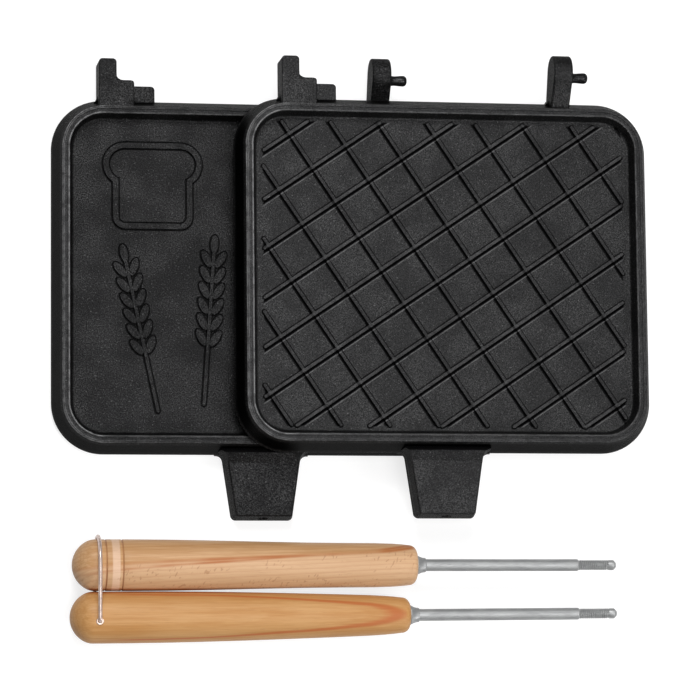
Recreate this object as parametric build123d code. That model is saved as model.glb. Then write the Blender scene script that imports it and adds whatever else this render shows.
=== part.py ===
from build123d import *
import math
import os

# Cast plate, both plates alike, sizes in millimetres
rim_length = 168.0
rim_width = 140.4
rim_corner = 17.5
wall_flare = 3.9
plate_height = 14.6
widest_height = 3.0
foot_inset = 3.0
rim_land = 3.4
rim_groove_width = 1.1
rim_groove_depth = 0.5
cavity_depth = 5.6
cavity_draft = 1.2
widest_round = 1.2
rim_round = 0.5
floor_round = 1.0

# Hinge ear with its pin, on the right of each plate
hinge_reach = 12.9
ear_offset = 45.3
ear_thickness = 8.0
ear_radius = 7.3
ear_overreach = 1.9
ear_root_low = 2.0
ear_root_high = 12.0
ear_edge_round = 0.9
pin_radius = 2.25
pin_reach = 7.5
pin_shank = 6.0
pin_tip_round = 1.3
pin_collar_length = 0.6
pin_collar_radius = 3.0
pin_fit = 0.02

# Stepped lug that takes the other plate's pin, on the left of each plate
side_gap = 0.7
pin_end_gap = 0.5
cradle_clearance = 0.1
cheek_thickness = 7.4
cheek_overreach = 7.0
block_setback = 1.9
pad_setback = 3.0
pad_gap = 1.5
pad_overlap = 0.7
lug_corner = 1.6
lug_inner_corner = 3.0
lug_top_round = 0.5
root_flare_width = 2.6
root_flare_reach = 4.6

# Boss that takes the handle's thread
boss_root_width = 33.5
boss_end_width = 25.6
boss_reach = 26.8
boss_height = 8.7
boss_corner = 2.2
boss_root_round = 2.7
boss_root_margin = 0.3
boss_draft = 8.6
boss_edge_round = 0.9
step_height = 11.0
step_reach = 3.2
step_slope = 4.1
socket_clearance = 0.05
socket_depth = 18.0

# Raised lattice on the front plate's floor
rib_height = 0.9
rib_foot_width = 2.4
rib_top_width = 1.2
lattice_pitch = 17.0
lattice_angle = 34.0
lattice_length = 153.3
lattice_width = 128.1
rising_shift = -0.4
falling_shift = -4.2

# Raised bread slice and wheat ears on the back plate's floor
relief_height = 0.9
outline_width = 0.8
outline_depth = 0.6
slice_width = 33.0
slice_height = 27.0
slice_corner = 5.0
slice_crown_width = 41.0
slice_crown_height = 18.0
slice_line = 2.2
slice_place = (-46.0, 33.0)
grain_length = 7.4
grain_width = 3.1
grain_pitch = 6.6
grain_pairs = 6
grain_spread = 30.0
grain_side = 1.1
grain_tip_gap = 3.0
stem_width = 1.3
stem_length = 25.0
ear_places = ((-25.0, -54.0, 86.0), (-44.0, -57.0, 102.0))

# Turned wooden grip
grip_radius = 10.55
butt_length = 9.5
butt_shoulder = 8.0
barrel_end = 24.0
upper_grip_length = 142.8
lower_grip_length = 140.6
upper_neck_radius = 8.3
lower_neck_radius = 7.3
grip_end_round = 3.2
taper_places = (0.42, 0.80)
upper_taper_drops = (0.33, 0.62)
lower_taper_drops = (0.20, 0.57)
taper_end_slope = -0.13
ring_line_places = (13.4, 20.2)
ring_line_width = 0.8
ring_line_depth = 0.35

# Steel rod and its ferrule
rod_radius = 2.5
thread_radius = 2.15
thread_length = 13.0
tip_length = 3.0
tip_chamfer = 1.0
upper_rod_showing = 84.8
lower_rod_showing = 87.9
rod_in_wood = 46.0
rod_hole_spare = 1.0
rod_fit = 0.02
ferrule_length = 4.0
ferrule_foot_radius = 4.1
ferrule_mouth_radius = 3.0
ferrule_fit = 0.02

# Wire bail and the eyelets of its cross hole
wire_radius = 0.8
bail_gap = 0.3
bail_bend = 1.3
bail_tail = 3.6
bail_lean = -0.5
bail_end_flat = 0.2
bail_hole_place = 11.4
bail_hole_offset = 1.8
eyelet_clearance = 0.1
eyelet_wall = 0.75
eyelet_height = 0.8
eyelet_sink = 0.25
hole_clearance = 0.3
eyelet_fit = 0.02

# Layout on the table
plate_shift = 74.4
handle_row_distance = 120.1
upper_butt_place = -117.2
lower_butt_place = -118.1
lower_handle_turn = 0.32
grip_gap = 0.3
closed_grip_gap = 0.2

# How near two heights are when they count as one level
level_tolerance = 0.01

widest_length = rim_length + 2 * wall_flare
widest_width = rim_width + 2 * wall_flare
floor_height = plate_height - cavity_depth
mouth_length = rim_length - 2 * rim_land
mouth_width = rim_width - 2 * rim_land
mouth_corner = rim_corner - rim_land
hinge_y = rim_width / 2 + hinge_reach
ear_outer = ear_offset + ear_thickness
block_face = ear_outer + side_gap
block_width = pin_reach - side_gap + pin_end_gap
cheek_face = block_face + block_width
lug_root_y = rim_width / 2 - rim_land / 2
boss_end_y = -widest_width / 2 - boss_reach
socket_height = plate_height - grip_radius - closed_grip_gap / 2
socket_radius = thread_radius + socket_clearance
grip_height = 2 * wire_radius + bail_gap + grip_radius
grip_spacing = 2 * grip_radius + grip_gap
eyelet_bore = wire_radius + eyelet_clearance
eyelet_radius = eyelet_bore + eyelet_wall


def rounded_plan(length, width, corner, height):
    return Pos(0, 0, height) * RectangleRounded(length, width, corner)


def plate_shell():
    foot = rounded_plan(widest_length - 2 * foot_inset, widest_width - 2 * foot_inset,
                        rim_corner + wall_flare - foot_inset, 0)
    widest = rounded_plan(widest_length, widest_width, rim_corner + wall_flare, widest_height)
    rim = rounded_plan(rim_length, rim_width, rim_corner, plate_height)
    shell = loft([foot, widest, rim], ruled=True)
    edge = shell.edges().filter_by(lambda e: abs(e.center().Z - widest_height) < level_tolerance)
    return fillet(edge, widest_round)


def plate_cavity():
    floor = rounded_plan(mouth_length - 2 * cavity_draft, mouth_width - 2 * cavity_draft,
                         mouth_corner - cavity_draft, floor_height)
    mouth = rounded_plan(mouth_length, mouth_width, mouth_corner, plate_height)
    cavity = loft([floor, mouth], ruled=True)
    return fillet(cavity.edges().group_by(Axis.Z)[0], floor_round)


def plate_tray():
    # The shell with its cavity, and both edges of the rim rounded
    tray = plate_shell() - plate_cavity()
    return fillet(tray.edges().group_by(Axis.Z)[-1], rim_round)


def rim_groove():
    inset = rim_land / 2 - rim_groove_width / 2
    outer = RectangleRounded(rim_length - 2 * inset, rim_width - 2 * inset, rim_corner - inset)
    inset = rim_land / 2 + rim_groove_width / 2
    inner = RectangleRounded(rim_length - 2 * inset, rim_width - 2 * inset, rim_corner - inset)
    ring = Pos(0, 0, plate_height - rim_groove_depth) * (outer - inner)
    return extrude(ring, rim_groove_depth)


def root_flare(low_x, high_x, low_z, high_z):
    # The lug widens where it grows out of the plate's wall
    wide_y = widest_width / 2 - wall_flare
    narrow_y = wide_y + root_flare_reach
    outline = make_face(Polyline(
        (low_x - root_flare_width, wide_y, low_z),
        (high_x + root_flare_width, wide_y, low_z),
        (high_x, narrow_y, low_z),
        (low_x, narrow_y, low_z),
        close=True))
    return extrude(outline, high_z - low_z)


def hinge_ear():
    eye = Pos(hinge_y + ear_overreach, plate_height) * Circle(ear_radius)
    root = Line((lug_root_y, ear_root_low), (lug_root_y, ear_root_high))
    outline = make_hull(eye.edges() + root.edges())
    ear = extrude(Plane.YZ * outline, ear_thickness)
    rims = ear.edges().filter_by(GeomType.CIRCLE)
    return Pos(ear_offset, 0, 0) * fillet(rims, ear_edge_round)


def pin_bore():
    bore = Cylinder(pin_radius + pin_fit, pin_shank, align=(Align.CENTER, Align.CENTER, Align.MAX))
    return Pos(ear_outer, hinge_y, plate_height) * Rot(0, 90, 0) * bore


def stepped_lug():
    cheek_y = hinge_y + cheek_overreach
    block_y = hinge_y - block_setback
    outline = FilletPolyline(
        (-cheek_face - cheek_thickness, lug_root_y, ear_root_low),
        (-cheek_face - cheek_thickness, cheek_y, ear_root_low),
        (-cheek_face, cheek_y, ear_root_low),
        (-cheek_face, block_y, ear_root_low),
        (-block_face, block_y, ear_root_low),
        (-block_face, lug_root_y, ear_root_low),
        radius=[lug_corner, lug_corner, lug_inner_corner, lug_corner])
    face = make_face([outline, Line(outline @ 1, outline @ 0)])
    lug = extrude(face, plate_height - ear_root_low, dir=(0, 0, 1))
    return fillet(lug.edges().group_by(Axis.Z)[-1], lug_top_round)


def lug_pad():
    # Low enough to pass under the other plate's ear
    high = plate_height - ear_radius - pad_gap
    low_x = -block_face
    width = block_face - ear_offset + pad_overlap
    depth = hinge_y - pad_setback - lug_root_y
    pad = Pos(low_x, lug_root_y, ear_root_low) * Box(width, depth, high - ear_root_low, align=Align.MIN)
    end = pad.edges().filter_by(Axis.Z).sort_by(Axis.Y)[-2:].sort_by(Axis.X)[-1]
    return fillet(end, lug_corner)


def pin_cradle():
    reach = block_width + side_gap
    cradle = Cylinder(pin_radius + cradle_clearance, reach)
    middle = -cheek_face + reach / 2
    return Pos(middle, hinge_y, plate_height) * Rot(0, 90, 0) * cradle


def boss_plan():
    # Seen from above: straight sides that narrow to the end, with a rounded root
    root_y = -widest_width / 2
    half_root = boss_root_width / 2
    half_end = boss_end_width / 2
    wing = half_root + boss_root_round + boss_root_margin
    inside_y = root_y + wall_flare
    outline = FilletPolyline(
        (-wing, inside_y),
        (-wing, root_y),
        (-half_root, root_y),
        (-half_end, boss_end_y),
        (half_end, boss_end_y),
        (half_root, root_y),
        (wing, root_y),
        (wing, inside_y),
        radius=[0, boss_root_round, boss_corner, boss_corner, boss_root_round, 0])
    return make_face([outline, Line(outline @ 1, outline @ 0)])


def handle_boss():
    plan = extrude(boss_plan(), step_height, taper=boss_draft)
    inside_y = -rim_width / 2 + rim_land
    wall_y = -widest_width / 2
    step_y = wall_y - step_reach + wall_flare
    slope_y = step_y - step_slope
    beyond_y = boss_end_y - boss_reach
    side = make_face(Polyline(
        (0, inside_y, 0),
        (0, inside_y, step_height),
        (0, step_y, step_height),
        (0, slope_y, boss_height),
        (0, beyond_y, boss_height),
        (0, beyond_y, 0),
        close=True))
    boss = plan & extrude(side, boss_root_width, both=True, dir=(1, 0, 0))
    top = boss.faces().filter_by(Axis.Z).filter_by(lambda f: abs(f.center().Z - boss_height) < level_tolerance)
    rims = top.edges().filter_by(lambda e: e.center().Y < slope_y - level_tolerance)
    return fillet(rims, boss_edge_round)


def handle_socket():
    mouth = Pos(0, boss_end_y, socket_height) * Rot(90, 0, 0)
    return mouth * Cylinder(socket_radius, socket_depth * 2)


def lattice_rib(start, end):
    # A low rib with sloping sides and round ends
    length = (end - start).length - rib_foot_width
    if length < rib_foot_width:
        return None
    middle = (start + end) / 2
    turn = math.degrees(math.atan2(end.Y - start.Y, end.X - start.X))
    foot = SlotCenterToCenter(length, rib_foot_width)
    top = Pos(0, 0, rib_height) * SlotCenterToCenter(length, rib_top_width)
    return Pos(middle.X, middle.Y, floor_height) * Rot(0, 0, turn) * loft([foot, top], ruled=True)


def lattice_family(angle, shift):
    # Parallel lines across the lattice's rectangle, one pitch apart
    along = Vector(math.cos(math.radians(angle)), math.sin(math.radians(angle)))
    across = Vector(-along.Y, along.X)
    half = math.hypot(lattice_length, lattice_width) / 2
    field = Rectangle(lattice_length, lattice_width)
    count = math.ceil(half / lattice_pitch)
    ribs = []
    for step in range(-count, count + 1):
        middle = across * (step * lattice_pitch + shift)
        line = Line(middle - along * half, middle + along * half)
        inside = line & field
        for piece in inside.edges() if inside else []:
            ribs.append(lattice_rib(piece @ 0, piece @ 1))
    return [rib for rib in ribs if rib]


def bread_slice(grow):
    # A slice of bread seen from the front, grown by a margin: a body under a wider, round crown
    body = RectangleRounded(slice_width + 2 * grow, slice_height + 2 * grow, slice_corner + grow)
    crown = SlotOverall(slice_crown_width + 2 * grow, slice_crown_height + 2 * grow)
    return Pos(*slice_place) * (body + Pos(0, slice_height / 2) * crown)


def wheat_ear(grow):
    # A stem with grains in pairs and one at the tip, along +X, grown by a margin
    tip = stem_length + grain_pairs * grain_pitch
    grain = Ellipse(grain_length / 2 + grow, grain_width / 2 + grow)
    ear = Pos(tip / 2, 0) * SlotOverall(tip + 2 * grow, stem_width + 2 * grow)
    for pair in range(grain_pairs):
        along = stem_length + pair * grain_pitch
        for side in (-1, 1):
            ear += Pos(along, side * grain_side) * Rot(0, 0, side * grain_spread) * Pos(grain_length / 2, 0) * grain
    return ear + Pos(tip + grain_tip_gap, 0) * grain


def relief_shapes(margin):
    # The slice's crust and both ears, in plan, each wider by the margin all round
    shapes = [bread_slice(margin) - bread_slice(-slice_line - margin)]
    for place_x, place_y, turn in ear_places:
        shapes.append(Pos(place_x, place_y) * Rot(0, 0, turn) * wheat_ear(margin))
    return shapes


def sink_and_raise(plate):
    # Each shape of the relief stands up out of a shallow groove
    low = Pos(0, 0, floor_height - outline_depth)
    for shape in relief_shapes(outline_width):
        plate -= low * extrude(shape, outline_depth + relief_height)
    for shape in relief_shapes(0):
        plate += low * extrude(shape, outline_depth + relief_height)
    return plate


def cast_plate():
    plate = plate_tray()
    plate += hinge_ear()
    plate += root_flare(ear_offset, ear_outer, widest_height, boss_height)
    plate += stepped_lug()
    plate += lug_pad()
    plate += root_flare(-cheek_face - cheek_thickness, -block_face, widest_height, boss_height)
    plate += handle_boss()
    plate -= rim_groove()
    plate -= pin_cradle()
    plate -= pin_bore()
    plate -= handle_socket()
    return plate


def lattice_plate():
    plate = cast_plate()
    for rib in lattice_family(lattice_angle, rising_shift) + lattice_family(lattice_angle - 90, falling_shift):
        plate += rib
    return plate


def hinge_pin():
    # A plain pin with a rounded tip and a small collar against the ear
    outline = FilletPolyline(
        (-pin_shank, 0),
        (-pin_shank, pin_radius),
        (pin_reach, pin_radius),
        (pin_reach, 0),
        radius=[0, pin_tip_round])
    face = make_face([outline, Line(outline @ 1, outline @ 0)])
    pin = revolve(face, Axis.X)
    collar = Cone(pin_collar_radius, pin_radius, pin_collar_length, align=(Align.CENTER, Align.CENTER, Align.MIN))
    return Pos(ear_outer, hinge_y, plate_height) * (pin + Rot(0, 90, 0) * collar)


def grip_body(length, neck_radius, taper_drops):
    # Turned shape along +X from its domed butt: a short barrel, then a slow taper
    shoulder_y = grip_radius - butt_shoulder
    nose = (butt_length ** 2 + shoulder_y ** 2 - butt_shoulder ** 2) / (2 * (butt_length - butt_shoulder))
    nose_angle = math.degrees(math.atan2(shoulder_y, nose - butt_length))
    dome_nose = CenterArc((nose, 0), nose, 180, -nose_angle)
    dome_shoulder = Spline(
        dome_nose @ 1,
        (butt_length, grip_radius),
        tangents=[dome_nose % 1, (1, 0)])
    barrel = Line((butt_length, grip_radius), (barrel_end, grip_radius))
    taper_length = length - barrel_end - grip_end_round
    drop = grip_radius - neck_radius
    taper = Spline(
        (barrel_end, grip_radius),
        *[(barrel_end + taper_length * place, grip_radius - drop * share)
          for place, share in zip(taper_places, taper_drops)],
        (length - grip_end_round, neck_radius),
        tangents=[(1, 0), (1, taper_end_slope)])
    shoulder = CenterArc((length - grip_end_round, neck_radius - grip_end_round), grip_end_round, 0, 90)
    face_line = Line((length, neck_radius - grip_end_round), (length, 0))
    axis_line = Line((length, 0), (0, 0))
    face = make_face([dome_nose, dome_shoulder, barrel, taper, shoulder, face_line, axis_line])
    return revolve(face, Axis.X)


def along_x(radius, start, end):
    middle = (start + end) / 2
    return Pos(middle, 0, 0) * Rot(0, 90, 0) * Cylinder(radius, end - start)


def rod_hole(length):
    return along_x(rod_radius + rod_fit, length - rod_in_wood - rod_hole_spare, length)


def ring_line(place):
    # A fine turned line, cut as a V all round
    half = ring_line_width / 2
    face = make_face(Polyline(
        (place - half, grip_radius + ring_line_depth),
        (place - half, grip_radius),
        (place, grip_radius - ring_line_depth),
        (place + half, grip_radius),
        (place + half, grip_radius + ring_line_depth),
        close=True))
    return revolve(face, Axis.X)


def upper_grip():
    grip = grip_body(upper_grip_length, upper_neck_radius, upper_taper_drops)
    grip -= rod_hole(upper_grip_length)
    for place in ring_line_places:
        grip -= ring_line(place)
    return grip


def eyelet_seat_height():
    # Low enough for the whole ring to sit in the wood
    far_side = bail_hole_offset + eyelet_radius + eyelet_fit
    return math.sqrt(grip_radius ** 2 - far_side ** 2) - eyelet_sink


def bail_hole():
    # A cross hole with a flat seat for an eyelet at each mouth
    base = (Align.CENTER, Align.CENTER, Align.MIN)
    hole = Cylinder(eyelet_bore + hole_clearance, 4 * grip_radius)
    seat = Pos(0, 0, eyelet_seat_height()) * Cylinder(eyelet_radius + eyelet_fit, grip_radius, align=base)
    return Pos(bail_hole_place, -bail_hole_offset, 0) * (hole + seat + Rot(180, 0, 0) * seat)


def lower_grip():
    grip = grip_body(lower_grip_length, lower_neck_radius, lower_taper_drops)
    grip -= rod_hole(lower_grip_length)
    return grip - bail_hole()


def eyelet(turn):
    base = (Align.CENTER, Align.CENTER, Align.MIN)
    ring = Cylinder(eyelet_radius, eyelet_height, align=base) - Cylinder(eyelet_bore, eyelet_height, align=base)
    place = Pos(bail_hole_place, -bail_hole_offset, 0) * Rot(turn, 0, 0)
    return place * Pos(0, 0, eyelet_seat_height()) * ring


def rod(grip_length, showing):
    tip = grip_length + showing
    shoulder = tip - tip_length - thread_length
    shape = along_x(rod_radius, grip_length - rod_in_wood, shoulder)
    shape += along_x(thread_radius, shoulder, tip)
    end = shape.edges().filter_by(GeomType.CIRCLE).sort_by(Axis.X)[-1]
    return chamfer(end, tip_chamfer)


def ferrule(grip_length):
    base = (Align.CENTER, Align.CENTER, Align.MIN)
    cone = Cone(ferrule_foot_radius, ferrule_mouth_radius, ferrule_length, align=base)
    bore = Cylinder(rod_radius + ferrule_fit, ferrule_length, align=base)
    return Pos(grip_length, 0, 0) * Rot(0, 90, 0) * (cone - bore)


def bail():
    # One bent wire about the cross hole: a tail, a leg, a round end, a leg and a tail
    leg_height = grip_radius + bail_gap + wire_radius
    seat = eyelet_seat_height()
    reach = bail_hole_offset + grip_spacing + leg_height
    tail = seat - bail_tail
    bow = leg_height - bail_end_flat
    path = FilletPolyline(
        (0, 0, tail),
        (0, 0, leg_height),
        (0, reach, leg_height),
        (0, reach, -leg_height),
        (0, 0, -leg_height),
        (0, 0, -tail),
        radius=[bail_bend, bow, bow, bail_bend])
    section = Pos(0, 0, tail) * Circle(wire_radius)
    wire = sweep(section, path)
    return Pos(bail_hole_place, -bail_hole_offset, 0) * Rot(0, 0, bail_lean) * wire


def place_upper(shape):
    return Pos(upper_butt_place, -handle_row_distance, grip_height) * shape


def place_lower(shape):
    row = -handle_row_distance - grip_spacing
    return Pos(lower_butt_place, row, grip_height) * Rot(0, 0, lower_handle_turn) * shape


def build_parts():
    front_place = Pos(plate_shift / 2, 0, plate_height)
    back_place = Pos(-plate_shift / 2, 0, 0)
    return {
        "back_plate": back_place * sink_and_raise(cast_plate()),
        "front_plate": front_place * lattice_plate(),
        "back_hinge_pin": back_place * hinge_pin(),
        "front_hinge_pin": front_place * hinge_pin(),
        "upper_grip": place_upper(upper_grip()),
        "lower_grip": place_lower(lower_grip()),
        "upper_rod": place_upper(rod(upper_grip_length, upper_rod_showing)),
        "lower_rod": place_lower(rod(lower_grip_length, lower_rod_showing)),
        "upper_ferrule": place_upper(ferrule(upper_grip_length)),
        "lower_ferrule": place_lower(ferrule(lower_grip_length)),
        "bail": place_lower(bail()),
        "bail_eyelet_top": place_lower(eyelet(0)),
        "bail_eyelet_bottom": place_lower(eyelet(180)),
    }


def centre_on_table(parts):
    # The origin is the middle of the whole set, at the table
    box = Compound(children=[Compound(shape.solids()) for shape in parts.values()]).bounding_box()
    middle = box.center()
    return {name: Pos(-middle.X, -middle.Y, 0) * shape for name, shape in parts.items()}


os.makedirs("parts", exist_ok=True)
for name, shape in centre_on_table(build_parts()).items():
    solid = shape.solids()[0]
    print(name, len(shape.solids()), round(solid.volume, 1), solid.is_valid)
    solid.label = name
    export_step(solid, f"parts/{name}.step")
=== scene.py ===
import math
import bmesh
import bpy
from mathutils import Euler, Matrix, Vector
from mathutils.geometry import interpolate_bezier


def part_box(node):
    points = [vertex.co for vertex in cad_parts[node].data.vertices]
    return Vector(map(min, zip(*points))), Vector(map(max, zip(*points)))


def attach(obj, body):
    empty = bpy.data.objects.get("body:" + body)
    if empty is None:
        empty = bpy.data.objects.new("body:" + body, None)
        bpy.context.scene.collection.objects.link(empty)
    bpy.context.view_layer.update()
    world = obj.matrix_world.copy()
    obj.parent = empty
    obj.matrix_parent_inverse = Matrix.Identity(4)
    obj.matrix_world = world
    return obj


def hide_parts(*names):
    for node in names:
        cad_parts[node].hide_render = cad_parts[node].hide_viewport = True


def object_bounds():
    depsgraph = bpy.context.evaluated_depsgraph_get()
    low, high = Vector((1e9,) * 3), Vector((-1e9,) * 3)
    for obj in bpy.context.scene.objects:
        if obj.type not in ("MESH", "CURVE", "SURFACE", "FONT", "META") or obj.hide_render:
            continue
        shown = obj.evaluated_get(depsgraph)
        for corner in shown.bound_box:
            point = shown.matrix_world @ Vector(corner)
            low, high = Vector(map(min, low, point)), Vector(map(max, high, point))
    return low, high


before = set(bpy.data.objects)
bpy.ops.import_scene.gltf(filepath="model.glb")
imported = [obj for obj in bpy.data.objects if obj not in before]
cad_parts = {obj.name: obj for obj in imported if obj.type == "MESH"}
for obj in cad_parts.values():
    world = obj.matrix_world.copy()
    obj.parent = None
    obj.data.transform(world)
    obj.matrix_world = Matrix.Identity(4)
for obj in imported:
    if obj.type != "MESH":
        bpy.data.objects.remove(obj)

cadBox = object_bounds()
mm = 0.001
weldGap = 0.002 * mm
sharpAngle = math.radians(35)


def middleOf(node):
    low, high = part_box(node)
    return (Vector(low) + Vector(high)) / 2


def finishMesh(shape, name):
    # Turns a bmesh into a piece of the scene, with its edges over sharpAngle kept crisp
    bmesh.ops.remove_doubles(shape, verts=shape.verts, dist=weldGap)
    bmesh.ops.recalc_face_normals(shape, faces=shape.faces)
    for face in shape.faces:
        face.smooth = True
    for edge in shape.edges:
        if len(edge.link_faces) == 2:
            edge.smooth = edge.calc_face_angle(0) < sharpAngle
    mesh = bpy.data.meshes.new(name)
    shape.to_mesh(mesh)
    shape.free()
    piece = bpy.data.objects.new(name, mesh)
    bpy.context.scene.collection.objects.link(piece)
    return piece


def startOutline(shape, along, radius):
    return shape.verts.new((along, 0, radius))


def lineTo(shape, last, along, radius):
    # Draws the outline on with a straight edge
    grown = bmesh.ops.extrude_vert_indiv(shape, verts=[last])["verts"][0]
    grown.co = (along, 0, radius)
    return grown


def linesTo(shape, last, points):
    # The same through several points, given in millimetres
    for along, radius in points:
        last = lineTo(shape, last, along * mm, radius * mm)
    return last


def arcTo(shape, last, centre, degrees, steps):
    # Draws the outline on with an arc round centre, clockwise seen from the front
    spun = bmesh.ops.spin(shape, geom=[last], cent=(centre[0], 0, centre[1]), axis=(0, 1, 0), dvec=(0, 0, 0),
                          angle=math.radians(degrees), steps=steps, use_merge=False, use_duplicate=False)
    return spun["geom_last"][0]


def spinOutline(shape, steps):
    # A full turn of the outline about the X axis
    bmesh.ops.spin(shape, geom=shape.verts[:] + shape.edges[:], cent=(0, 0, 0), axis=(1, 0, 0),
                   dvec=(0, 0, 0), angle=math.tau, steps=steps, use_merge=True, use_duplicate=False)
    bmesh.ops.remove_doubles(shape, verts=shape.verts, dist=weldGap)


def placeMesh(piece, place):
    piece.data.transform(Matrix.Translation(place))


def dress(piece, material, body, slot, *nodes):
    piece.data.materials.clear()
    piece.data.materials.append(material)
    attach(piece, body)
    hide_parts(*nodes)


class Strand:
    # One output socket of a material, so that its maths reads as plain sums
    def __init__(self, tree, socket):
        self.tree = tree
        self.socket = socket

    def maths(self, operation, other, swap=False):
        node = self.tree.nodes.new("ShaderNodeMath")
        node.operation = operation
        pair = (other, self) if swap else (self, other)
        for entry, value in zip(node.inputs, pair):
            plug(self.tree, entry, value)
        return Strand(self.tree, node.outputs[0])

    def __add__(self, other):
        return self.maths("ADD", other)

    def __radd__(self, other):
        return self.maths("ADD", other, True)

    def __sub__(self, other):
        return self.maths("SUBTRACT", other)

    def __rsub__(self, other):
        return self.maths("SUBTRACT", other, True)

    def __mul__(self, other):
        return self.maths("MULTIPLY", other)

    def __rmul__(self, other):
        return self.maths("MULTIPLY", other, True)

    def __truediv__(self, other):
        return self.maths("DIVIDE", other)

    def __pow__(self, other):
        return self.maths("POWER", other)

    def __abs__(self):
        return self.maths("ABSOLUTE", 0.0)

    def fraction(self):
        return self.maths("FRACT", 0.0)

    def node(self, kind, settings=None, sockets=None, out=0):
        return addNode(self.tree, kind, settings, sockets, out)


def plug(tree, entry, value):
    if isinstance(value, Strand):
        tree.links.new(value.socket, entry)
    else:
        entry.default_value = value


def addNode(tree, kind, settings=None, sockets=None, out=0):
    # Any shader node: its settings first, then the values or links of its sockets
    node = tree.nodes.new("ShaderNode" + kind)
    for key, value in (settings or {}).items():
        setattr(node, key, value)
    for key, value in (sockets or {}).items():
        plug(tree, node.inputs[key], value)
    return Strand(tree, node.outputs[out])


def newMaterial(name):
    material = bpy.data.materials.new(name)
    material.use_nodes = True
    tree = material.node_tree
    place = addNode(tree, "TexCoord", out=3)
    return material, tree, place, tree.nodes["Principled BSDF"].inputs


def between(strand, low, high):
    # 0 below low, 1 above high, smooth between
    return strand.node("MapRange", {"interpolation_type": "SMOOTHSTEP"},
                       {"Value": strand, "From Min": low, "From Max": high, "To Min": 0.0, "To Max": 1.0})


def blendColours(amount, low, high):
    return amount.node("Mix", {"data_type": "RGBA"}, {0: amount, 6: low, 7: high}, out=2)


def noise(place, size, detail=2.0, roughness=0.5):
    # Soft noise whose lumps are about size across, in metres
    return place.node("TexNoise", {}, {"Vector": place, "Scale": 1 / size,
                                       "Detail": detail, "Roughness": roughness})


def stretched(place, scale, turn=(0, 0, 0), move=(0, 0, 0)):
    return place.node("Mapping", {"vector_type": "POINT"},
                      {"Vector": place, "Location": move, "Rotation": turn, "Scale": scale})


def drawnNoise(place, scale, detail=2.0, roughness=0.5, move=(0, 0, 0)):
    # Soft noise with its own number of lumps to the metre along each axis
    return noise(stretched(place, scale, move=move), 1.0, detail, roughness)


def shade(*levels):
    # A colour from thousandths of red, green and blue
    return (*[value / 1000 for value in levels], 1)


def raised(least, strand, most=1.0):
    # Fits a strand of 0 to 1 between least and most
    return least + (most - least) * strand


def band(strand, low, high, soft):
    # 1 from low to high, with soft edges
    return between(strand, low - soft, low + soft) * (1 - between(strand, high - soft, high + soft))


def moved(place, origin):
    # Coordinates measured from origin
    return stretched(place, (1, 1, 1), move=(-origin[0], -origin[1], -origin[2]))


def splitAxes(place):
    parts = place.node("SeparateXYZ", {}, {0: place})
    return [Strand(place.tree, output) for output in parts.socket.node.outputs]


# Black non-stick coating of the castings, with worn grain, pale specks and uneven patches
coatingLook = {
    "base": shade(9, 9, 9.3), "wornAndHighlight": shade(60, 60, 60.6), "speck": shade(230, 230, 232),
    "grain": 0.5 * mm, "speckSize": 0.65 * mm, "patch": 14 * mm, "grainLevels": (0.35, 0.75),
    "speckLevels": (0.64, 0.74), "speckDepth": 0.3, "patchLevels": (0.35, 0.65), "leastMist": 0.45,
    "roughness": 0.42, "grainGloss": 0.12, "patchDullness": 0.08, "bump": 0.18 * mm, "speckBump": 0.5,
    "metallic": 0.7, "specular": 0.14, "specularTint": 0.06,
}
# The two plates carry one coating, painted darker on the back plate and lighter on the front for how each is
# lit
shadedBackLook = {**coatingLook, "base": shade(7, 7, 7.2), "wornAndHighlight": shade(50, 50, 50.6)}
litFrontLook = {**coatingLook, "base": shade(14, 14, 14.4)}
pinLook = {**coatingLook, "roughness": 0.36, "bump": 0.03 * mm}

# Where a plate takes painted highlights and painted shade. Heights are from its foot, insets are from the
# outer edge of its rim, and a line is inset from, inset to, softness and depth
paintedPlateLight = {
    "bossToMiddle": 100.9 * mm, "rimHalf": (84 * mm, 70.2 * mm), "rimCorner": 17.5 * mm,
    "wornAndHighlight": shade(150, 150, 152), "paintedShade": shade(1.5, 1.5, 1.6), "mostHighlight": 0.85,
    "rimHeights": (13.7 * mm, 15.1 * mm), "rimSoft": 0.1 * mm,
    "rimLines": ((2.7, 3.15, 0.12, 1.0), (0.85, 1.15, 0.12, 0.45), (0.05, 0.45, 0.15, 0.55),
                 (0.0, 3.5, 0.2, 0.1)),
    "brightSide": (-72 * mm, -60 * mm), "otherSides": 0.25,
    "highlightPatchSize": 3 * mm, "highlightPatchLevels": (0.35, 0.6), "leastHighlightPatch": 0.35,
    "footHeights": (2.1 * mm, 2.9 * mm), "footSoft": 0.2 * mm, "footInset": (-3.0 * mm, -2.2 * mm),
    "footHighlight": 0.5, "wallInsets": (-3.2 * mm, -0.7 * mm), "wallHeights": (3.2 * mm, 13.2 * mm),
    "wallSoft": 0.3 * mm, "grooveHeights": (8.2 * mm, 8.75 * mm), "grooveSoft": 0.12 * mm,
    "cavityInset": (6 * mm, 7 * mm), "grooveShade": 0.75,
}

# Painted highlights and painted shadows in strips beside the ribs, one value for each family of ribs where
# there are two
lattice = {
    "turns": (34.0, -56.0), "shifts": (-0.4 * mm, -4.2 * mm), "pitch": 17.0 * mm,
    "half": (76.6 * mm, 64.0 * mm), "endSoft": 0.8 * mm, "heights": (8.6 * mm, 10.4 * mm), "soft": 0.2 * mm,
    "top": (-0.5 * mm, 0.7 * mm), "topHighlight": (0.14, 0.0),
    "foot": (-2.3 * mm, -1.95 * mm), "footSoft": 0.15 * mm, "footHighlight": (0.55, 0.0),
    "paintedShade": (-1.75 * mm, -0.65 * mm), "shadowDepth": (1.0, 0.9),
}


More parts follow.
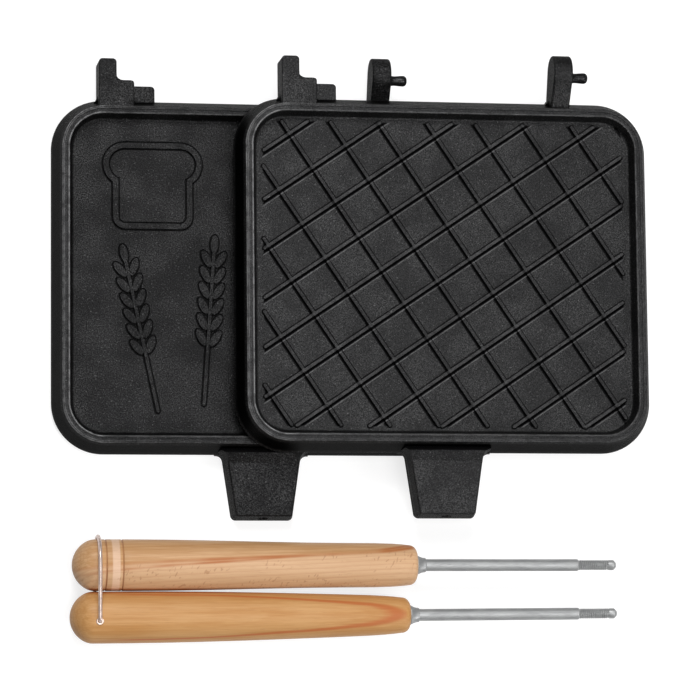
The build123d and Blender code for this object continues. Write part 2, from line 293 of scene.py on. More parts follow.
def ribLines(place, turn, shift):
    # Signed distance, in metres, to the nearest rib of one family, seen across the ribs
    across = place.node("VectorMath", {"operation": "DOT_PRODUCT"},
                        {0: place, 1: (-math.sin(turn), math.cos(turn), 0)}, out=1)
    return (((across - shift) / lattice["pitch"] + 0.5).fraction() - 0.5) * lattice["pitch"]


def plateMiddle(low, high):
    # Middle of a plate's rim, at the height of its foot, from the corners of the plate's box
    return (low[0] + high[0]) / 2, low[1] + paintedPlateLight["bossToMiddle"], low[2]


def rimDistance(alongX, acrossY):
    # Distance inward from the rim's outer edge, negative outside it
    corner = paintedPlateLight["rimCorner"]
    pastX = abs(alongX) - (paintedPlateLight["rimHalf"][0] - corner)
    pastY = abs(acrossY) - (paintedPlateLight["rimHalf"][1] - corner)
    reach = (pastX.maths("MAXIMUM", 0.0) ** 2 + pastY.maths("MAXIMUM", 0.0) ** 2) ** 0.5
    return corner - reach - pastX.maths("MAXIMUM", pastY).maths("MINIMUM", 0.0)


def paintedEdgeHighlights(alongX, heightZ, inset, paintedLightAmount):
    # Painted highlights: bright lines along the rim, more on its left side, and along the foot of the wall
    lines = 0.0
    for start, stop, soft, depth in paintedPlateLight["rimLines"]:
        lines = depth * band(inset, start * mm, stop * mm, soft * mm) + lines
    onRim = band(heightZ, *paintedPlateLight["rimHeights"], paintedPlateLight["rimSoft"])
    side = raised(paintedPlateLight["otherSides"], 1 - between(alongX, *paintedPlateLight["brightSide"]))
    foot = band(heightZ, *paintedPlateLight["footHeights"], paintedPlateLight["footSoft"])
    onWall = 1 - between(inset, *paintedPlateLight["footInset"])
    return (lines * onRim * side + paintedPlateLight["footHighlight"] * foot * onWall) * paintedLightAmount


def paintedWallShade(base, heightZ, inset):
    # Painted shade on the sloping wall, and in the grooves of the cavity's floor
    soft = paintedPlateLight["wallSoft"]
    wall = band(inset, *paintedPlateLight["wallInsets"], soft) * band(heightZ, *paintedPlateLight["wallHeights"], soft)
    groove = band(heightZ, *paintedPlateLight["grooveHeights"], paintedPlateLight["grooveSoft"])
    inCavity = between(inset, *paintedPlateLight["cavityInset"])
    base = blendColours(wall, base, paintedPlateLight["paintedShade"])
    return blendColours(groove * inCavity * paintedPlateLight["grooveShade"], base, paintedPlateLight["paintedShade"])


def ribbedFloor(base, paintedHighlight, local, axes, paintedLightAmount):
    # Along each rib a painted highlight on its top, a painted shadow on one flank and a painted highlight at
    # the flank's foot
    soft = lattice["soft"]
    inside = band(axes[2], *lattice["heights"], soft)
    for axis, half in zip(axes, lattice["half"]):
        inside = inside * (1 - between(abs(axis), half - lattice["endSoft"], half))
    families = zip(*(lattice[key] for key in ("turns", "shifts", "topHighlight", "footHighlight", "shadowDepth")))
    for turn, shift, topHighlight, footHighlight, shadowDepth in families:
        across = ribLines(local, math.radians(turn), shift)
        bright = band(across, *lattice["top"], soft) * topHighlight
        bright = bright + band(across, *lattice["foot"], lattice["footSoft"]) * footHighlight
        paintedHighlight = paintedHighlight + bright * inside * paintedLightAmount
        paintedShade = band(across, *lattice["paintedShade"], soft) * inside * shadowDepth
        base = blendColours(paintedShade, base, paintedPlateLight["paintedShade"])
    return base, paintedHighlight


def plateMarks(base, place, plate, ribs):
    # Painted highlights and painted shade laid over the plate's coating, in patches of uneven strength
    low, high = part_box(plate)
    local = moved(place, plateMiddle(low, high))
    alongX, acrossY, heightZ = splitAxes(local)
    inset = rimDistance(alongX, acrossY)
    highlightPatches = between(noise(place, paintedPlateLight["highlightPatchSize"]), *paintedPlateLight["highlightPatchLevels"])
    paintedLightAmount = raised(paintedPlateLight["leastHighlightPatch"], highlightPatches)
    paintedHighlight = paintedEdgeHighlights(alongX, heightZ, inset, paintedLightAmount)
    base = paintedWallShade(base, heightZ, inset)
    if ribs:
        base, paintedHighlight = ribbedFloor(base, paintedHighlight, local, (alongX, acrossY, heightZ), paintedLightAmount)
    return blendColours(paintedHighlight.maths("MINIMUM", paintedPlateLight["mostHighlight"]), base, paintedPlateLight["wornAndHighlight"])


def coatingMaterial(name, look, plate=None, ribs=False):
    material, tree, place, sockets = newMaterial(name)
    grain = noise(place, look["grain"], detail=2.5, roughness=0.6)
    specks = between(noise(place, look["speckSize"], detail=1.0), *look["speckLevels"])
    patches = noise(place, look["patch"], detail=3.0)
    mist = raised(look["leastMist"], between(patches, *look["patchLevels"]))
    misted = blendColours(between(grain, *look["grainLevels"]) * mist, look["base"], look["wornAndHighlight"])
    base = blendColours(specks * look["speckDepth"], misted, look["speck"])
    if plate:
        base = plateMarks(base, place, plate, ribs)
    plug(tree, sockets["Base Color"], base)
    sockets["Metallic"].default_value = look["metallic"]
    roughness = look["roughness"] - look["grainGloss"] * grain + look["patchDullness"] * patches
    plug(tree, sockets["Roughness"], roughness)
    tint = look["specularTint"]
    sockets["Specular IOR Level"].default_value = look["specular"]
    sockets["Specular Tint"].default_value = (tint, tint, tint, 1)
    bumps = grain + look["speckBump"] * specks
    plug(tree, sockets["Normal"], place.node("Bump", {}, {"Strength": 1.0, "Distance": look["bump"],
                                                          "Height": bumps}))
    return material


# Oiled beech: noise scales along and across the wood, then where each mark starts and how deep it is
beech = {
    "wobble": (11, 40, 40), "fibre": (45, 1300, 1300), "band": (14, 330, 330), "patch": (26, 50, 50),
    "toneMix": (0.6, 0.4, 0.35), "toneLevels": (0.52, 0.86),
    "ringWobble": 2.2 * mm, "ringFibre": 0.4 * mm, "lateWood": (0.45, 0.93, 0.94, 1.0), "leastRing": 0.4,
    "strongEdge": (0.1 * mm, 0.75 * mm), "strongFromButt": (10, 30),
    "streakWobble": 1.6 * mm, "streakFibre": 0.6 * mm, "liftLength": 71 * mm, "liftPower": 5,
    "twinSpread": 1.4, "twinThin": 1.3, "streakPatches": (0.38, 0.56), "leastStreak": 0.3,
    "streakFromButt": (6, 26), "leastAtButt": 0.35, "belowStreak": (-1.2 * mm, 0.4 * mm), "blushDepth": 0.6,
    "contactShadeDepth": (0.55, 0.95), "bandColour": shade(760, 540, 400), "bandSoft": 0.3, "bandDepth": 0.6,
    "lineEdge": (0.15, 0.55), "linePatches": (0.35, 0.6), "lineDepth": (0.45, 0.95),
    "rayTurn": 28, "rayScale": (1250, 480, 480), "rayLevels": (0.63, 0.7), "leastRays": 0.1,
    "rayPatch": (60, 140, 140), "rayPatchLevels": (0.42, 0.55), "rayDepth": 0.7,
    "pore": (200, 3600, 3600), "poreLevels": (0.6, 0.72), "poreDepth": 0.2,
    "roughness": 0.52, "fibreGloss": 0.1, "lateDullness": 0.08, "specular": 0.3,
    "bump": 0.05 * mm, "bumpStrength": 0.6, "poreBump": 0.6, "rayBump": 0.5,
}

# Each grip has its own figure: rings round a far pith, one strong ring or streak, and rays.
# The marks along the grip are in millimetres from its butt
upperWood = {
    "axis": middleOf("upper_grip"), "pale": shade(585, 355, 185), "deep": shade(470, 255, 108),
    "line": shade(370, 150, 50), "strong": shade(385, 122, 32), "ray": shade(330, 150, 66),
    "pith": (58 * mm, -16 * mm), "lean": (-0.045, 0.012), "rings": 1.7 * mm, "ringDepth": 0.3,
    "strongRing": 0.0, "strongDepth": 0.0, "streak": (2.3 * mm, 0.042, 2.0 * mm), "streakWidth": 1.25 * mm,
    "twin": 1.9 * mm, "streakDepth": 0.9, "contact": (-10.05 * mm, -9.5 * mm), "blush": shade(620, 400, 240),
    "rays": 0.7, "turnedLines": (13.4, 20.2), "paleBand": (15.8, 18.9), "halfLength": 71.4, "seed": 0.31,
}
lowerWood = {
    "axis": middleOf("lower_grip"), "pale": shade(545, 300, 118), "deep": shade(460, 222, 70),
    "line": shade(400, 165, 48), "strong": shade(420, 105, 24), "ray": shade(310, 140, 52),
    "pith": (0.5 * mm, -46 * mm), "lean": (0.0, -0.012), "rings": 2.0 * mm, "ringDepth": 0.22,
    "strongRing": 52.84 * mm, "strongDepth": 0.8, "streak": (-40 * mm, 0.0, 0.0), "streakWidth": 1.0 * mm,
    "twin": 0.0, "streakDepth": 0.0, "contact": (10.0 * mm, 9.2 * mm), "blush": shade(640, 370, 160),
    "rays": 0.15, "turnedLines": (), "paleBand": (), "halfLength": 70.3, "seed": 1.73,
}


def beechGrain(centred, seed):
    # The noises that the figure is drawn with
    return {
        "wobble": drawnNoise(centred, beech["wobble"], move=(seed, 0, 0)) - 0.5,
        "fibres": drawnNoise(centred, beech["fibre"], detail=3.0, roughness=0.65, move=(0, seed, 0)),
        "bands": drawnNoise(centred, beech["band"], move=(0, 0, seed)),
        "patches": drawnNoise(centred, beech["patch"], move=(0, 0, seed)),
    }


def growthRings(wood, axes, grain, fromButt):
    # Late wood of each year round a pith that leans a little against the axis, and one strong ring
    alongX, acrossY, heightZ = axes
    ringY = acrossY + wood["lean"][0] * alongX - wood["pith"][0]
    ringZ = heightZ + wood["lean"][1] * alongX - wood["pith"][1]
    radius = (ringY * ringY + ringZ * ringZ) ** 0.5
    radius = radius + beech["ringWobble"] * grain["wobble"] + beech["ringFibre"] * (grain["fibres"] - 0.5)
    year = (radius / wood["rings"]).fraction()
    start, full, fall, end = beech["lateWood"]
    lateWood = between(year, start, full) * (1 - between(year, fall, end))
    strong = 1 - between(abs(radius - wood["strongRing"]), *beech["strongEdge"])
    return lateWood, strong * wood["strongDepth"] * between(fromButt, *beech["strongFromButt"])


def darkStreak(wood, axes, grain, fromButt):
    # The double streak of the upper grip climbs along the top and ends steeper
    alongX, acrossY = axes[:2]
    level, slope, lift = wood["streak"]
    endLift = (alongX / beech["liftLength"]) ** beech["liftPower"] * lift
    fromStreak = acrossY - slope * alongX - endLift - level
    fromStreak = fromStreak + beech["streakWobble"] * grain["wobble"]
    fromStreak = fromStreak + beech["streakFibre"] * (grain["fibres"] - 0.5)
    twinGap = wood["twin"] * (beech["twinSpread"] - fromButt / wood["halfLength"])
    twin = abs(fromStreak + twinGap) * beech["twinThin"]
    streak = 1 - between(abs(fromStreak).maths("MINIMUM", twin), 0.0, wood["streakWidth"])
    streak = streak * raised(beech["leastStreak"], between(grain["patches"], *beech["streakPatches"]))
    streak = streak * raised(beech["leastAtButt"], between(fromButt, *beech["streakFromButt"]))
    return streak * wood["streakDepth"], 1 - between(fromStreak, *beech["belowStreak"])


def turnedMarks(figured, wood, grain, fromButt):
    # Dirt in the turned lines, and a paler band between them
    if wood["paleBand"]:
        paler = band(fromButt, *wood["paleBand"], beech["bandSoft"])
        figured = blendColours(paler * beech["bandDepth"], figured, beech["bandColour"])
    for line in wood["turnedLines"]:
        least, most = beech["lineDepth"]
        dirt = 1 - between(abs(fromButt - line), *beech["lineEdge"])
        dirt = dirt * raised(least, between(grain["patches"], *beech["linePatches"]), most)
        figured = blendColours(dirt, figured, wood["ray"])
    return figured


def beechRays(centred, wood, below):
    # Short slanted dashes, thick below the streak
    slanted = stretched(centred, (1, 1, 1), (0, 0, math.radians(beech["rayTurn"])))
    dashes = drawnNoise(slanted, beech["rayScale"], detail=0.5, move=(wood["seed"], 0, 0))
    patches = drawnNoise(centred, beech["rayPatch"], detail=1.0)
    rays = between(dashes, *beech["rayLevels"]) * raised(beech["leastRays"], below)
    return rays * between(patches, *beech["rayPatchLevels"]) * wood["rays"]


def beechColour(wood, axes, grain, fromButt):
    # Plain wood first, then rings, streak and painted shade where the two grips touch
    lateWood, strong = growthRings(wood, axes, grain, fromButt)
    streak, below = darkStreak(wood, axes, grain, fromButt)
    fibreShare, bandShare, patchShare = beech["toneMix"]
    tone = fibreShare * grain["fibres"] + bandShare * grain["bands"] + patchShare * grain["patches"]
    figured = blendColours(between(tone, *beech["toneLevels"]), wood["deep"], wood["pale"])
    figured = blendColours(below * beech["blushDepth"], figured, wood["blush"])
    ringDepth = wood["ringDepth"] * raised(beech["leastRing"], grain["patches"])
    figured = blendColours(lateWood * ringDepth, figured, wood["line"])
    figured = blendColours(streak.maths("MAXIMUM", strong), figured, wood["strong"])
    # Painted shade along the side where this grip touches the other
    outer, inner = wood["contact"]
    paintedLightAmount = 1 - between(axes[1], outer, inner) if outer < inner else between(axes[1], inner, outer)
    least, most = beech["contactShadeDepth"]
    figured = blendColours(paintedLightAmount * raised(least, grain["patches"], most), figured, wood["strong"])
    return figured, lateWood, below


def beechMaterial(name, wood):
    material, tree, place, sockets = newMaterial(name)
    centred = moved(place, wood["axis"])
    axes = splitAxes(centred)
    grain = beechGrain(centred, wood["seed"])
    fromButt = axes[0] / mm + wood["halfLength"]
    figured, lateWood, below = beechColour(wood, axes, grain, fromButt)
    figured = turnedMarks(figured, wood, grain, fromButt)
    rays = beechRays(centred, wood, below)
    pores = between(drawnNoise(centred, beech["pore"], detail=1.0), *beech["poreLevels"])
    flecked = blendColours(rays * beech["rayDepth"], figured, wood["ray"])
    plug(tree, sockets["Base Color"], blendColours(pores * beech["poreDepth"], flecked, wood["ray"]))
    roughness = beech["roughness"] - beech["fibreGloss"] * grain["fibres"] + beech["lateDullness"] * lateWood
    plug(tree, sockets["Roughness"], roughness)
    sockets["Specular IOR Level"].default_value = beech["specular"]
    bumps = grain["fibres"] - beech["poreBump"] * pores - beech["rayBump"] * rays
    plug(tree, sockets["Normal"], place.node("Bump", {}, {"Strength": beech["bumpStrength"],
                                                          "Distance": beech["bump"], "Height": bumps}))
    return material


# Metal of the rods, ferrules and wire, brushed a little
rodLook = {"base": shade(350, 355, 356), "dull": shade(275, 280, 281), "metallic": 0.6, "roughness": 0.48,
           "spread": 0.2, "patch": (120, 500, 500), "levels": (0.35, 0.7), "grain": 0.25 * mm,
           "bump": 0.02 * mm, "bumpStrength": 0.5}
wireLook = {**rodLook, "base": shade(690, 560, 505), "dull": shade(480, 365, 320), "roughness": 0.32,
            "patch": (900, 300, 900), "bump": 0.01 * mm}
# The eyelets take a darker copy of the wire, painted shade for the hole that the wire goes into
shadedEyeletLook = {**wireLook, "base": shade(640, 500, 430), "dull": shade(160, 105, 80)}


def metalMaterial(name, look):
    material, tree, place, sockets = newMaterial(name)
    brushed = drawnNoise(place, look["patch"], detail=3.0, roughness=0.6)
    grain = noise(place, look["grain"])
    colour = blendColours(between(brushed, *look["levels"]), look["base"], look["dull"])
    plug(tree, sockets["Base Color"], colour)
    sockets["Metallic"].default_value = look["metallic"]
    plug(tree, sockets["Roughness"], look["roughness"] + look["spread"] * (brushed - 0.5))
    plug(tree, sockets["Normal"], place.node("Bump", {}, {"Strength": look["bumpStrength"],
                                                          "Distance": look["bump"], "Height": grain}))
    return material


backCoating = coatingMaterial("backCoating", shadedBackLook, "back_plate")
frontCoating = coatingMaterial("frontCoating", litFrontLook, "front_plate", True)
pinCoating = coatingMaterial("blackPin", pinLook)
upperBeech = beechMaterial("upperBeech", upperWood)
lowerBeech = beechMaterial("lowerBeech", lowerWood)
zinc = metalMaterial("zincSteel", rodLook)
brightWire = metalMaterial("brightWire", wireLook)
shadedEyeletWire = metalMaterial("shadedEyeletWire", shadedEyeletLook)
print("materials made")


# The castings keep their own shape
for plateName, coating in (("back_plate", backCoating), ("front_plate", frontCoating)):
    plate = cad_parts[plateName]
    plate.data.materials.clear()
    plate.data.materials.append(coating)
print("plates dressed")


# Hinge pins: flared foot, slight waist, bulb tip. Curves give the way along from the foot, and the radius
pinShape = {"shank": 6.0, "bulb": 2.25, "reach": 7.5, "tip": 1.6, "turns": 48,
            "flare": ((0, 3.0), (0.55, 2.16), (1.1, 2.0), (2.2, 2.0)), "flareSteps": 8,
            "swell": ((2.2, 2.0), (2.86, 2.0), (4.8, 2.25), (5.9, 2.25)), "swellSteps": 7, "tipSteps": 8}


def makePin(name, node, body):
    shank, bulb, reach, tip = (pinShape[key] for key in ("shank", "bulb", "reach", "tip"))
    flare = interpolate_bezier(*pinShape["flare"], pinShape["flareSteps"])
    swell = interpolate_bezier(*pinShape["swell"], pinShape["swellSteps"])
    shape = bmesh.new()
    last = startOutline(shape, -shank * mm, 0)
    last = linesTo(shape, last, ((-shank, bulb), (0, bulb), pinShape["flare"][0]))
    last = linesTo(shape, last, flare[1:] + swell[1:])
    last = arcTo(shape, last, ((reach - tip) * mm, (bulb - tip) * mm), 90, pinShape["tipSteps"])
    lineTo(shape, last, reach * mm, 0)
    spinOutline(shape, pinShape["turns"])
    pin = finishMesh(shape, name)
    low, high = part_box(node)
    placeMesh(pin, (high[0] - reach * mm, (low[1] + high[1]) / 2, (low[2] + high[2]) / 2))
    dress(pin, pinCoating, body, "pin_steel", node)


makePin("backPin", "back_hinge_pin", "back_plate_body")
makePin("frontPin", "front_hinge_pin", "front_plate_body")
print("hinge pins made")


# Turned grips, drawn from the butt. The taper gives radii along the grip, and the groove gives the shape of
# a turned line as shares of half its width and of its depth
gripShape = {
    "radius": 10.55, "nose": 10.9175, "noseAngle": 60.931, "noseSteps": 16, "shoulder": 8.0,
    "shoulderSteps": 10, "buttLength": 9.5, "barrelEnd": 24.0, "endRound": 3.2, "endSteps": 10,
    "rodHole": 2.52, "holeDepth": 4.0, "rodInWood": 46.0, "turns": 128, "lineWidth": 0.8, "lineDepth": 0.35,
    "groove": ((-1.0, 0), (-0.7, 0.12), (-0.3, 0.85), (0, 1.0), (0.3, 0.85), (0.7, 0.12), (1.0, 0)),
}
upperGrip = {
    "length": 142.8, "neck": 8.3, "turn": 0.0, "ringLines": (13.4, 20.2),
    "taper": ((38.5, 10.46), (52.9, 10.23), (67.4, 9.92), (81.8, 9.61), (96.3, 9.34), (110.7, 9.18),
              (125.2, 9.12), (132.6, 8.9), (136.6, 8.63)),
}
lowerGrip = {
    "length": 140.6, "neck": 7.3, "turn": 0.32, "ringLines": (),
    "taper": ((38.2, 10.48), (52.4, 10.29), (66.5, 10.02), (80.7, 9.68), (94.9, 9.29), (109.1, 8.87),
              (123.2, 8.4), (130.4, 7.99), (134.4, 7.64)),
}


def handlePlace(grip, gripNode, ferruleNode):
    # Where the handle's butt lies, and the small angle that the handle is turned on the table
    foot = middleOf(ferruleNode)
    turn = math.radians(grip["turn"])
    butt = Vector((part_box(gripNode)[0][0], foot[1] - grip["length"] * mm * math.sin(turn), foot[2]))
    return Matrix.Translation(butt) @ Matrix.Rotation(turn, 4, "Z")


def alongHandle(piece, place, along=0.0):
    piece.data.transform(place @ Matrix.Translation((along * mm, 0, 0)))


upperPlace = handlePlace(upperGrip, "upper_grip", "upper_ferrule")
lowerPlace = handlePlace(lowerGrip, "lower_grip", "lower_ferrule")


def gripOutline(shape, grip):
    keys = ("radius", "nose", "shoulder", "endRound")
    radius, nose, shoulder, endRound = (gripShape[key] * mm for key in keys)
    length, neck = grip["length"] * mm, grip["neck"] * mm
    noseAngle = gripShape["noseAngle"]
    last = startOutline(shape, 0, 0)
    last = arcTo(shape, last, (nose, 0), noseAngle, gripShape["noseSteps"])
    shoulderCentre = (gripShape["buttLength"] * mm, radius - shoulder)
    last = arcTo(shape, last, shoulderCentre, 90 - noseAngle, gripShape["shoulderSteps"])
    half = gripShape["lineWidth"] * mm / 2
    for line in grip["ringLines"]:
        for offset, share in gripShape["groove"]:
            depth = share * gripShape["lineDepth"] * mm
            last = lineTo(shape, last, line * mm + offset * half, radius - depth)
    last = lineTo(shape, last, gripShape["barrelEnd"] * mm, radius)
    last = linesTo(shape, last, grip["taper"])
    last = lineTo(shape, last, length - endRound, neck)
    last = arcTo(shape, last, (length - endRound, neck - endRound), 90, gripShape["endSteps"])
    bottom = grip["length"] - gripShape["holeDepth"]
    hole = gripShape["rodHole"]
    linesTo(shape, last, ((grip["length"], hole), (bottom, hole), (bottom, 0)))


def makeGrip(name, node, body, grip, place, material):
    shape = bmesh.new()
    gripOutline(shape, grip)
    spinOutline(shape, gripShape["turns"])
    piece = finishMesh(shape, name)
    alongHandle(piece, place)
    dress(piece, material, body, "beech", node)


makeGrip("upperGrip", "upper_grip", "upper_handle", upperGrip, upperPlace, upperBeech)
makeGrip("lowerGrip", "lower_grip", "lower_handle", lowerGrip, lowerPlace, lowerBeech)
print("grips turned")


# Rods with cut threads. The ridge gives where the V's crest starts and stops and where its foot ends, as
# shares of the pitch
rodShape = {"radius": 2.5, "crest": 2.15, "root": 1.82, "threadLength": 13.0, "pitch": 0.8, "tip": 3.0,
            "neck": 0.4, "runOut": 0.5, "chamfer": 1.0, "turns": 48, "ridge": (0.4, 0.55, 0.95),
            "ridgeSteps": 32, "upperShowing": 84.8, "lowerShowing": 87.9}


def rodCore(grip, showing):
    # The rod with the thread's ground turned down to its root, and where the thread starts
    radius, crest, root = rodShape["radius"], rodShape["crest"], rodShape["root"]
    length = gripShape["rodInWood"] + showing
    threadEnd = length - rodShape["tip"]
    threadStart = threadEnd - rodShape["threadLength"]
    chamfer, runOut = rodShape["chamfer"], rodShape["runOut"]
    shape = bmesh.new()
    last = startOutline(shape, 0, 0)
    last = linesTo(shape, last, ((0, radius), (threadStart - rodShape["neck"], radius)))
    last = linesTo(shape, last, ((threadStart, crest), (threadStart + runOut, root)))
    last = linesTo(shape, last, ((threadEnd - runOut, root), (threadEnd, crest)))
    linesTo(shape, last, ((length - chamfer, crest), (length, crest - chamfer), (length, 0)))
    spinOutline(shape, rodShape["turns"])
    return shape, threadStart * mm


def threadRidge(first):
    # One V of the thread, wound round the core as a screw
    crest, root, pitch = (rodShape[key] * mm for key in ("crest", "root", "pitch"))
    crestStart, crestEnd, footEnd = rodShape["ridge"]
    ridge = bmesh.new()
    last = startOutline(ridge, first, root)
    last = lineTo(ridge, last, first + crestStart * pitch, crest)
    last = lineTo(ridge, last, first + crestEnd * pitch, crest)
    lineTo(ridge, last, first + footEnd * pitch, root)
    turns = int(rodShape["threadLength"] / rodShape["pitch"]) - 1
    steps = turns * rodShape["ridgeSteps"]
    bmesh.ops.spin(ridge, geom=ridge.verts[:] + ridge.edges[:], cent=(0, 0, 0), axis=(1, 0, 0),
                   dvec=(turns * pitch / steps, 0, 0), angle=turns * math.tau, steps=steps,
                   use_merge=False, use_duplicate=False)
    return ridge


def makeRod(name, node, body, grip, place, showing):
    start = grip["length"] - gripShape["rodInWood"]
    core, threadStart = rodCore(grip, showing)
    rod = finishMesh(core, name)
    alongHandle(rod, place, start)
    dress(rod, zinc, body, "rod_steel", node)
    thread = finishMesh(threadRidge(threadStart), name + "Thread")
    alongHandle(thread, place, start)
    thread.data.materials.append(zinc)
    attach(thread, body)


makeRod("upperRod", "upper_rod", "upper_handle", upperGrip, upperPlace, rodShape["upperShowing"])
makeRod("lowerRod", "lower_rod", "lower_handle", lowerGrip, lowerPlace, rodShape["lowerShowing"])
print("rods threaded")


# Ferrules: a rim on the wood, then a sweep down to the lip round the rod
ferruleShape = {"bore": 2.52, "length": 4.0, "mouth": 3.0, "lip": 0.35, "lipSteps": 6, "turns": 64,
                "rim": ((0, 4.0), (0.15, 4.1), (0.45, 4.1)),
                "sweep": ((0.6, 3.95), (1.6, 3.5), (2.2, 3.05), (3.65, 3.0)), "sweepSteps": 10}


def makeFerrule(name, node, body, grip, place):
    bore, length, mouth, lip = (ferruleShape[key] * mm for key in ("bore", "length", "mouth", "lip"))
    shape = bmesh.new()
    first = startOutline(shape, 0, bore)
    last = linesTo(shape, first, ferruleShape["rim"])
    last = linesTo(shape, last, interpolate_bezier(*ferruleShape["sweep"], ferruleShape["sweepSteps"]))
    last = arcTo(shape, last, (length - lip, mouth - lip), 90, ferruleShape["lipSteps"])
    last = lineTo(shape, last, length, bore)
    shape.edges.new((last, first))
    spinOutline(shape, ferruleShape["turns"])
    piece = finishMesh(shape, name)
    alongHandle(piece, place, grip["length"])
    dress(piece, zinc, body, "rod_steel", node)


makeFerrule("upperFerrule", "upper_ferrule", "upper_handle", upperGrip, upperPlace)
makeFerrule("lowerFerrule", "lower_ferrule", "lower_handle", lowerGrip, lowerPlace)
print("ferrules made")


# Bent wire bail. Both its ends go into the lower grip, at a place along and aside of the butt's middle. The
# solid has a cross hole there, which the turned mesh leaves out
bailShape = {"wire": 0.8, "leg": 11.65, "tail": 6.11, "bend": 1.3, "reach": 34.85, "bow": 11.45, "lean": -0.5,
             "holeAlong": 11.4, "holeAside": -1.8, "sides": 20, "bendSteps": 10, "bowSteps": 24}


def growStraight(shape, ring, move):
    # Draws the open end of the wire on along a straight line
    grown = bmesh.ops.extrude_edge_only(shape, edges=ring)["geom"]
    verts = [part for part in grown if isinstance(part, bmesh.types.BMVert)]
    bmesh.ops.translate(shape, verts=verts, vec=move)
    return [part for part in grown if isinstance(part, bmesh.types.BMEdge)
            and all(vert in verts for vert in part.verts)]


def growBend(shape, ring, centre, degrees, steps):
    # Bends the open end of the wire about centre
    verts = list({vert for edge in ring for vert in edge.verts})
    spun = bmesh.ops.spin(shape, geom=verts + ring, cent=centre, axis=(1, 0, 0), dvec=(0, 0, 0),
                          angle=math.radians(degrees), steps=steps, use_merge=False, use_duplicate=False)
    return [part for part in spun["geom_last"] if isinstance(part, bmesh.types.BMEdge)]


def makeBail():
    keys = ("wire", "leg", "tail", "bend", "bow", "reach")
    wire, leg, tail, bend, bow, reach = (bailShape[key] * mm for key in keys)
    bendSteps, bowSteps = bailShape["bendSteps"], bailShape["bowSteps"]
    shape = bmesh.new()
    bmesh.ops.create_circle(shape, cap_ends=True, segments=bailShape["sides"], radius=wire,
                            matrix=Matrix.Translation((0, 0, tail)))
    ring = shape.edges[:]
    # Up out of the lower grip, over to the upper grip and round it, and back below
    ring = growStraight(shape, ring, (0, 0, leg - bend - tail))
    ring = growBend(shape, ring, (0, bend, leg - bend), -90, bendSteps)
    ring = growStraight(shape, ring, (0, reach - bow - bend, 0))
    ring = growBend(shape, ring, (0, reach - bow, leg - bow), -90, bowSteps)
    ring = growStraight(shape, ring, (0, 0, -2 * (leg - bow)))
    ring = growBend(shape, ring, (0, reach - bow, bow - leg), -90, bowSteps)
    ring = growStraight(shape, ring, (0, bow + bend - reach, 0))
    ring = growBend(shape, ring, (0, bend, bend - leg), -90, bendSteps)
    ring = growStraight(shape, ring, (0, 0, leg - bend - tail))
    bmesh.ops.holes_fill(shape, edges=ring, sides=0)
    piece = finishMesh(shape, "wireBail")
    hole = Matrix.Translation((bailShape["holeAlong"] * mm, bailShape["holeAside"] * mm, 0))
    piece.data.transform(Matrix.Rotation(math.radians(bailShape["lean"]), 4, "Z"))
    piece.data.transform(lowerPlace @ hole)
    dress(piece, brightWire, "bail_body", "wire", "bail")


makeBail()
print("bail bent")


# Eyelets where the wire goes into the lower grip
eyeletShape = {"outer": 1.65, "bore": 0.9, "lip": 0.3, "lipSteps": 5, "turns": 48}


def makeEyelet(name, node):
    low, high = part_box(node)
    outer, bore, lip = (eyeletShape[key] * mm for key in ("outer", "bore", "lip"))
    half = (high[2] - low[2]) / 2
    shape = bmesh.new()
    first = startOutline(shape, -half, bore)
    last = lineTo(shape, first, -half, outer - lip)
    last = arcTo(shape, last, (-half + lip, outer - lip), 90, eyeletShape["lipSteps"])
    last = lineTo(shape, last, half - lip, outer)
    last = arcTo(shape, last, (half - lip, outer - lip), 90, eyeletShape["lipSteps"])
    last = lineTo(shape, last, half, bore)
    shape.edges.new((last, first))
    spinOutline(shape, eyeletShape["turns"])
    piece = finishMesh(shape, name)
    piece.data.transform(Matrix.Rotation(math.radians(90), 4, "Y"))
    placeMesh(piece, ((low[0] + high[0]) / 2, (low[1] + high[1]) / 2, (low[2] + high[2]) / 2))
    dress(piece, shadedEyeletWire, "lower_handle", "wire", node)


makeEyelet("topEyelet", "bail_eyelet_top")
makeEyelet("bottomEyelet", "bail_eyelet_bottom")
print("eyelets made")


# Studio: grey paper that looks white to the camera and in reflections, and three round lamps with their
# place, size and power
studio = {
    "floorSize": 30.0, "floorDrop": 0.02 * mm, "floorColour": (0.35, 0.35, 0.35, 1), "whiteGlow": 0.75,
    "world": (0.22, 0.22, 0.22, 1),
    "lamps": {"keyLamp": ((-0.25, 0.9, 1.35), 0.6, 15.8), "topLamp": ((0.3, -0.3, 1.9), 1.1, 17),
              "sideLamp": ((0.9, -1.0, 0.8), 0.5, 9)},
}


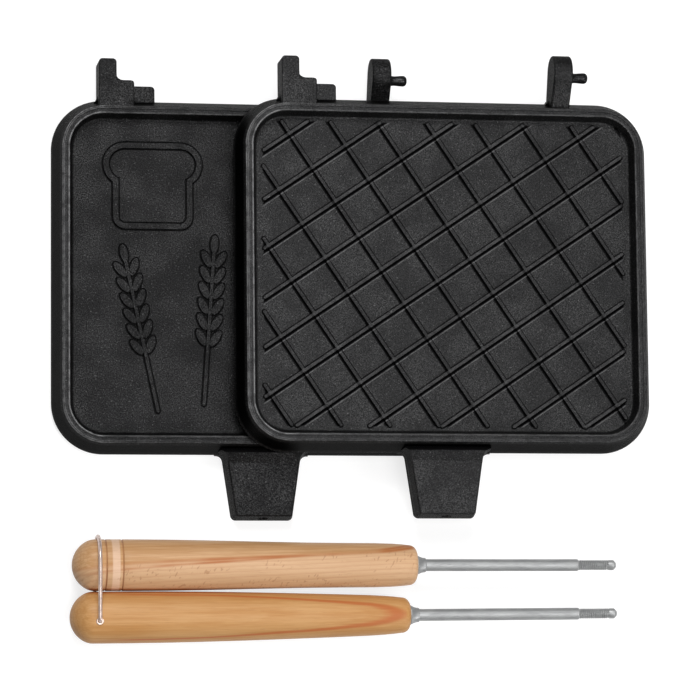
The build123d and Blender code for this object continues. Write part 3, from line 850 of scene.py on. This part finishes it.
def makeFloor():
    shape = bmesh.new()
    bmesh.ops.create_grid(shape, x_segments=1, y_segments=1, size=studio["floorSize"] / 2,
                          matrix=Matrix.Translation((0, 0, cadBox[0][2] - studio["floorDrop"])))
    floor = finishMesh(shape, "studioFloor")
    material = bpy.data.materials.new("studioPaper")
    material.use_nodes = True
    tree = material.node_tree
    tree.nodes.remove(tree.nodes["Principled BSDF"])
    path = addNode(tree, "LightPath")
    seen = path
    for kind in ("Is Glossy Ray", "Is Transmission Ray"):
        seen = seen.maths("MAXIMUM", Strand(tree, path.socket.node.outputs[kind]))
    paper = addNode(tree, "BsdfDiffuse", {}, {"Color": studio["floorColour"]})
    glow = addNode(tree, "Emission", {}, {"Color": (1, 1, 1, 1), "Strength": seen * studio["whiteGlow"]})
    both = addNode(tree, "AddShader", {}, {0: paper, 1: glow})
    plug(tree, tree.nodes["Material Output"].inputs["Surface"], both)
    floor.data.materials.append(material)


def makeLamp(name, place, size, power):
    lamp = bpy.data.lights.new(name, "AREA")
    lamp.shape = "DISK"
    lamp.size = size
    lamp.energy = power
    holder = bpy.data.objects.new(name, lamp)
    bpy.context.scene.collection.objects.link(holder)
    holder.location = place
    holder.rotation_mode = "QUATERNION"
    holder.rotation_quaternion = (-Vector(place)).to_track_quat("-Z", "Y")


makeFloor()
for lampName, (place, size, power) in studio["lamps"].items():
    makeLamp(lampName, place, size, power)
world = bpy.data.worlds.new("studioWorld")
world.use_nodes = True
world.node_tree.nodes["Background"].inputs["Color"].default_value = studio["world"]
bpy.context.scene.world = world
bpy.context.scene.view_settings.view_transform = "Standard"

# The photograph's view: aimed at a point beside the back plate's middle, tilted a little off straight down
cameraView = {"distance": 1.4964, "tilts": (-6.9, 9.7, -0.58), "width": 0.4195 * 700 * mm, "sensor": 36,
              "aim": (38.1 * mm, -29.1 * mm), "clip": (0.05, 50)}


def makeCamera():
    low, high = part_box("back_plate")
    middle = plateMiddle(low, high)
    target = Vector((middle[0] + cameraView["aim"][0], middle[1] + cameraView["aim"][1], 0))
    turned = Euler([-math.radians(tilt) for tilt in cameraView["tilts"]], "ZYX").to_matrix()
    lens = bpy.data.cameras.new("photoCamera")
    lens.sensor_width = cameraView["sensor"]
    lens.lens = cameraView["sensor"] * cameraView["distance"] / cameraView["width"]
    lens.clip_start, lens.clip_end = cameraView["clip"]
    camera = bpy.data.objects.new("photoCamera", lens)
    bpy.context.scene.collection.objects.link(camera)
    camera.rotation_mode = "QUATERNION"
    camera.rotation_quaternion = turned.to_quaternion()
    camera.location = target + turned @ Vector((0, 0, cameraView["distance"]))
    bpy.context.scene.camera = camera


makeCamera()
print("camera set")
